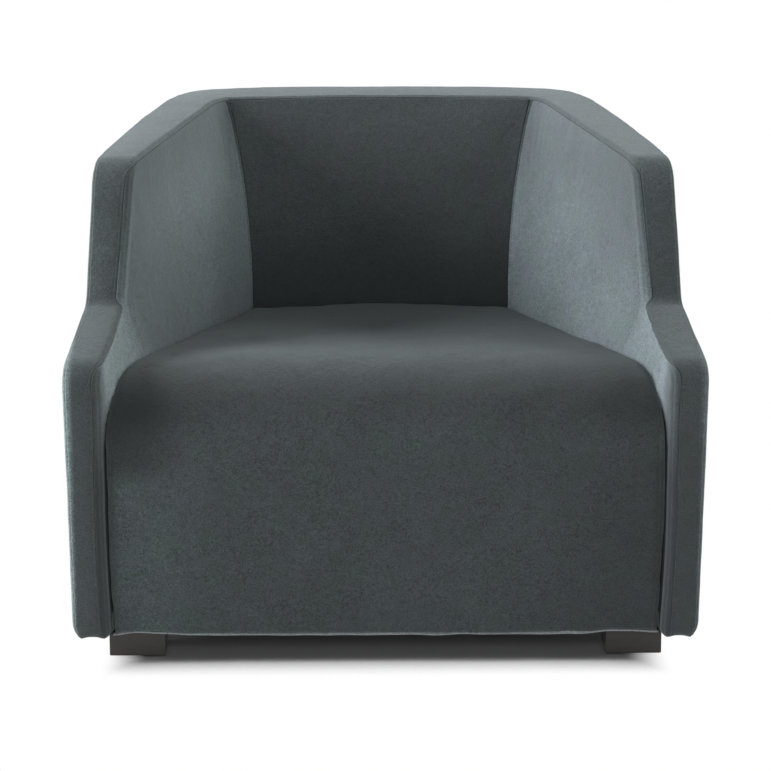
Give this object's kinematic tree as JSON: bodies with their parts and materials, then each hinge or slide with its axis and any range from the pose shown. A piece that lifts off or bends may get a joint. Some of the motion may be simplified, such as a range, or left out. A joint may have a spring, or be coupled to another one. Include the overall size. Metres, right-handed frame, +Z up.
{
  "type": "upholstered armchair",
  "caption": "Low tub armchair with sloping arms that rise to wings, a raked back, a one-piece waterfall seat and block feet, for one person to sit in.",
  "frame": {"origin": "on the floor under the middle of the chair, at the centre of its footprint box", "axes": "+X to the right as seen from the front, across the arms; +Y from the front of the seat towards the back; +Z up"},
  "size_m": [0.88, 0.8, 0.702],
  "materials": {
    "velvet": "short slate-grey velvet pile with soft nap marks and topstitched seams",
    "dark_wood": "espresso-stained hardwood with a satin lacquer",
    "beech": "planed and sanded beech, unfinished",
    "hardboard": "thin brown pressed hardboard, smooth face out",
    "foam": "pale yellow upholstery foam, cut faces",
    "wadding": "white bonded polyester wadding",
    "webbing": "black woven elastic webbing",
    "hessian": "open plain-woven jute hessian",
    "base_cloth": "thin black spunbonded cloth",
    "spring_steel": "dark drawn spring wire",
    "zinc_steel": "zinc-plated steel",
    "black_plastic": "moulded glides, fine matte grain"
  },
  "bodies": {
    "root": {"left_front_foot": "dark_wood", "right_front_foot": "dark_wood", "left_rear_foot": "dark_wood", "right_rear_foot": "dark_wood", "foot_glides": "black_plastic", "foot_bolts": "zinc_steel", "tee_nuts": "zinc_steel", "corner_blocks": "beech", "front_board": "beech", "rear_base_rail": "beech", "left_base_rail": "beech", "right_base_rail": "beech", "left_front_post": "beech", "right_front_post": "beech", "left_wing_post": "beech", "right_wing_post": "beech", "left_back_post": "beech", "right_back_post": "beech", "left_arm_rail": "beech", "right_arm_rail": "beech", "left_top_rail": "beech", "right_top_rail": "beech", "back_top_rail": "beech", "lumbar_rail": "beech", "left_seat_rail": "beech", "right_seat_rail": "beech", "rear_seat_rail": "beech", "left_outer_board": "hardboard", "right_outer_board": "hardboard", "back_outer_board": "hardboard", "left_inner_board": "hardboard", "right_inner_board": "hardboard", "seat_springs": "spring_steel", "spring_clips": "zinc_steel", "spring_tie_wires": "spring_steel", "back_webbing": "webbing", "deck_cloth": "hessian", "seat_foam": "foam", "seat_wadding": "wadding", "left_inner_pad": "foam", "right_inner_pad": "foam", "inner_back_pad": "foam", "left_outer_pad": "wadding", "right_outer_pad": "wadding", "back_outer_pad": "wadding", "left_edge_pad": "wadding", "right_edge_pad": "wadding", "back_edge_pad": "wadding", "seat_cover": "velvet", "left_inner_cover": "velvet", "right_inner_cover": "velvet", "inner_back_cover": "velvet", "edge_band": "velvet", "left_outer_cover": "velvet", "right_outer_cover": "velvet", "back_outer_cover": "velvet", "dust_cover": "base_cloth"}
  },
  "joints": []
}
